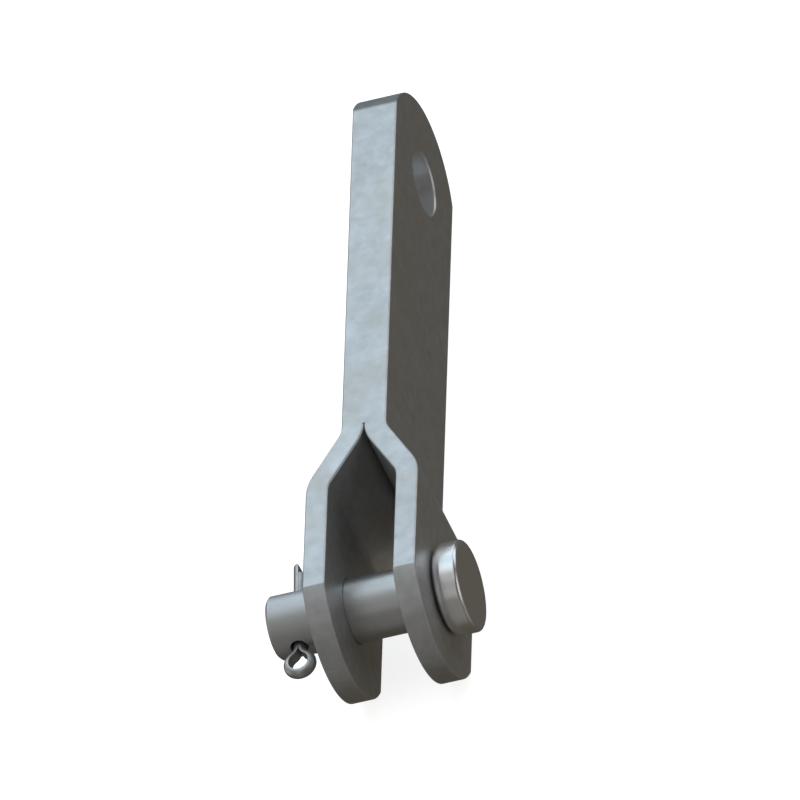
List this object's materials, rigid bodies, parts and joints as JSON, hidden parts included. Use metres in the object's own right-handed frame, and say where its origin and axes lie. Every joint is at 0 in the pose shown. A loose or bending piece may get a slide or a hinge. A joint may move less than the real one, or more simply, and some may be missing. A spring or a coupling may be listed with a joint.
{
  "type": "clevis and tongue extension link",
  "caption": "Steel link whose bent flat straps join in a drilled tongue and spread into a fork, closed by a headed clevis pin that a cotter pin retains.",
  "frame": {"origin": "centre of the tongue hole, midway through the tongue's thickness", "axes": "+X along the tongue hole and the clevis pin, towards the pin's head; +Y along the link, from the fork towards the tongue's end; +Z across the straps' width, up from the edges it rests on"},
  "size_m": [0.0554, 0.2006, 0.045],
  "materials": {
    "galvanised_strap": "hot-dip galvanised, matt to satin, soft mottled spangle",
    "galvanised_weld": "ground flush and galvanised with the straps",
    "galvanised_pin": "galvanised, turned and satin, brighter on worn edges",
    "cotter_wire": "plain drawn wire, semi-bright"
  },
  "bodies": {
    "link": {"strap_right": "galvanised_strap", "strap_left": "galvanised_strap", "seam_weld_upper": "galvanised_weld", "seam_weld_lower": "galvanised_weld", "seam_weld_end": "galvanised_weld"},
    "pin": {"clevis_pin": "galvanised_pin"},
    "cotter": {"cotter_pin": "cotter_wire"}
  },
  "joints": [
    {"name": "pin_spin", "type": "hinge", "parent": "link", "child": "pin", "pos_m": [0, -0.1524, 0], "axis": [1, 0, 0], "continuous": true},
    {"name": "cotter_pull", "type": "slide", "parent": "pin", "child": "cotter", "axis": [0, -0.9976, -0.0698], "range_m": [0, 0.03]}
  ]
}
